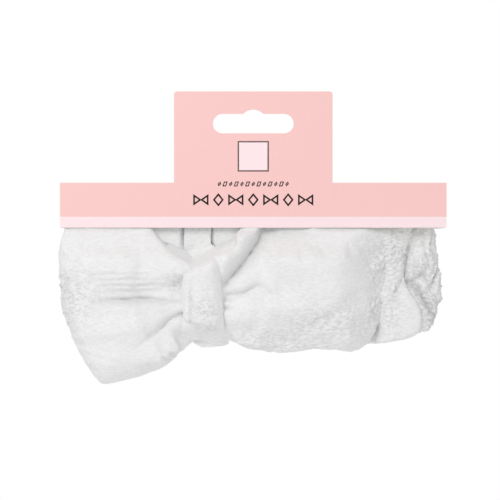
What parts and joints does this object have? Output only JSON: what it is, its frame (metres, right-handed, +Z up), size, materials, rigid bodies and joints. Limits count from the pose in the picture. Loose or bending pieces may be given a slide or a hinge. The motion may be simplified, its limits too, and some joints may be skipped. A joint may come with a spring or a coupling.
{
  "type": "spa headband on header card",
  "caption": "Soft towelling spa headband with a large gathered bow, folded flat in the sleeve of a header card that has a hang slot in its tab.",
  "frame": {"origin": "centre of the hang slot, in the middle of the board's thickness", "axes": "+X across the card to the viewer's right, +Y away from the viewer through the folded headband, +Z up"},
  "size_m": [0.2131, 0.0497, 0.1616],
  "materials": {
    "card": "satin",
    "glue": "satin",
    "towelling": "matte",
    "elastic": "matte",
    "thread": "satin"
  },
  "bodies": {
    "card": {"card_front_panel": "card", "card_left_side": "card", "card_right_side": "card", "card_glue_flap": "card", "glue_strip": "glue"},
    "card_back": {"card_back_panel": "card"},
    "headband": {"front_band": "towelling", "back_casing": "towelling", "elastic_strip": "elastic", "left_join_seam": "towelling", "right_join_seam": "towelling", "left_seam_stitches": "thread", "right_seam_stitches": "thread", "bow_gather": "towelling", "gather_thread": "thread", "knot_wrap": "towelling", "knot_wrap_stitches": "thread"},
    "bow_left": {"bow_left_loop": "towelling"},
    "bow_right": {"bow_right_loop": "towelling"}
  },
  "joints": [
    {"name": "headband_slide", "type": "slide", "parent": "card", "child": "headband", "axis": [0, 0, -1], "range_m": [0, 0.05]},
    {"name": "card_back_hinge", "type": "hinge", "parent": "card", "child": "card_back", "pos_m": [-0.10605, 0.0365, 0], "axis": [0, 0, 1], "range_deg": [0, 110]},
    {"name": "bow_left_droop", "type": "hinge", "parent": "headband", "child": "bow_left", "pos_m": [-0.0276, 0.007, -0.0915], "axis": [0, -1, 0], "range_deg": [0, 10]},
    {"name": "bow_right_droop", "type": "hinge", "parent": "headband", "child": "bow_right", "pos_m": [-0.0276, 0.007, -0.0915], "axis": [0, 1, 0], "range_deg": [0, 10]}
  ]
}
